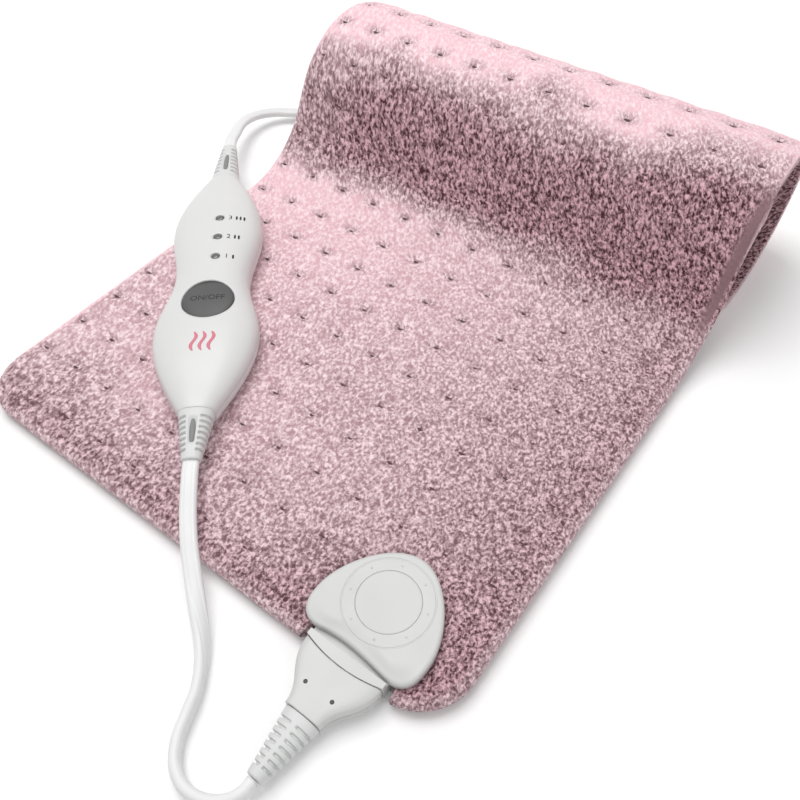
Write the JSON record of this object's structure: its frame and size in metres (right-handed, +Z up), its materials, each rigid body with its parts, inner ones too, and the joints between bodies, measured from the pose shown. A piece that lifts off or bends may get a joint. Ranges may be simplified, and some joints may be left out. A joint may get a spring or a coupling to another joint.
{
  "type": "heating pad with controller",
  "caption": "Tufted plush heating pad, far end rolled back, with a plug-in corner socket and a wired push-button controller on a mains lead.",
  "frame": {"origin": "on the pad's flat underside, midway along the flat run and across the pad", "axes": "+Z up, +Y along the pad from the socket edge to the rolled end, +X to the socket's side"},
  "size_m": [0.3636, 0.534, 0.0871],
  "materials": {
    "plush": "short-pile plush, tufted",
    "felt": "needled felt",
    "silicone": "satin",
    "white_plastic": "moulded, gloss",
    "grey_plastic": "moulded, fine texture",
    "pale_rubber": "moulded, satin",
    "cord_vinyl": "extruded, satin",
    "black_plastic": "moulded",
    "board": "solder resist",
    "led_resin": "cast resin",
    "smoked_lens": "clear moulded, smoked",
    "brass": "plated",
    "steel": "zinc plated"
  },
  "bodies": {
    "pad": {"pad_top_cover": "plush", "pad_bottom_cover": "plush", "upper_felt": "felt", "lower_felt": "felt", "heating_wire": "silicone", "socket_top": "white_plastic", "socket_boss": "white_plastic", "socket_base": "white_plastic", "socket_receptacle": "white_plastic", "controller_top": "white_plastic", "controller_base": "white_plastic", "film_capacitor": "grey_plastic", "mains_relief": "pale_rubber", "lead_relief": "pale_rubber", "pad_lead": "cord_vinyl", "mains_lead": "cord_vinyl", "mains_hank": "cord_vinyl", "mains_tail": "cord_vinyl", "plug_body": "cord_vinyl", "plug_relief": "cord_vinyl", "thermal_cutout": "black_plastic", "switch_body": "black_plastic", "triac": "black_plastic", "control_chip": "black_plastic", "hank_tie": "black_plastic", "circuit_board": "board", "led_1": "led_resin", "led_2": "led_resin", "led_3": "led_resin", "indicator_lens_1": "smoked_lens", "indicator_lens_2": "smoked_lens", "indicator_lens_3": "smoked_lens", "socket_pin_1": "brass", "socket_pin_2": "brass", "socket_pin_3": "brass", "fuse": "brass", "plug_blade_1": "brass", "plug_blade_2": "brass", "case_screw_1": "steel", "case_screw_2": "steel"},
    "button": {"power_button": "grey_plastic", "switch_plunger": "black_plastic"},
    "connector": {"connector_top": "white_plastic", "connector_bottom": "white_plastic", "connector_tongue": "grey_plastic", "connector_relief": "pale_rubber", "connector_sleeve_1": "brass", "connector_sleeve_2": "brass", "connector_sleeve_3": "brass"}
  },
  "joints": [
    {"name": "button_press", "type": "slide", "parent": "pad", "child": "button", "axis": [0, 0, -1], "range_m": [0, 0.001], "stiffness_N_per_m": 1200, "springref_m": -0.0008},
    {"name": "connector_unplug", "type": "slide", "parent": "pad", "child": "connector", "axis": [0, -1, 0], "range_m": [0, 0.018], "deforming": ["pad_lead"]}
  ]
}
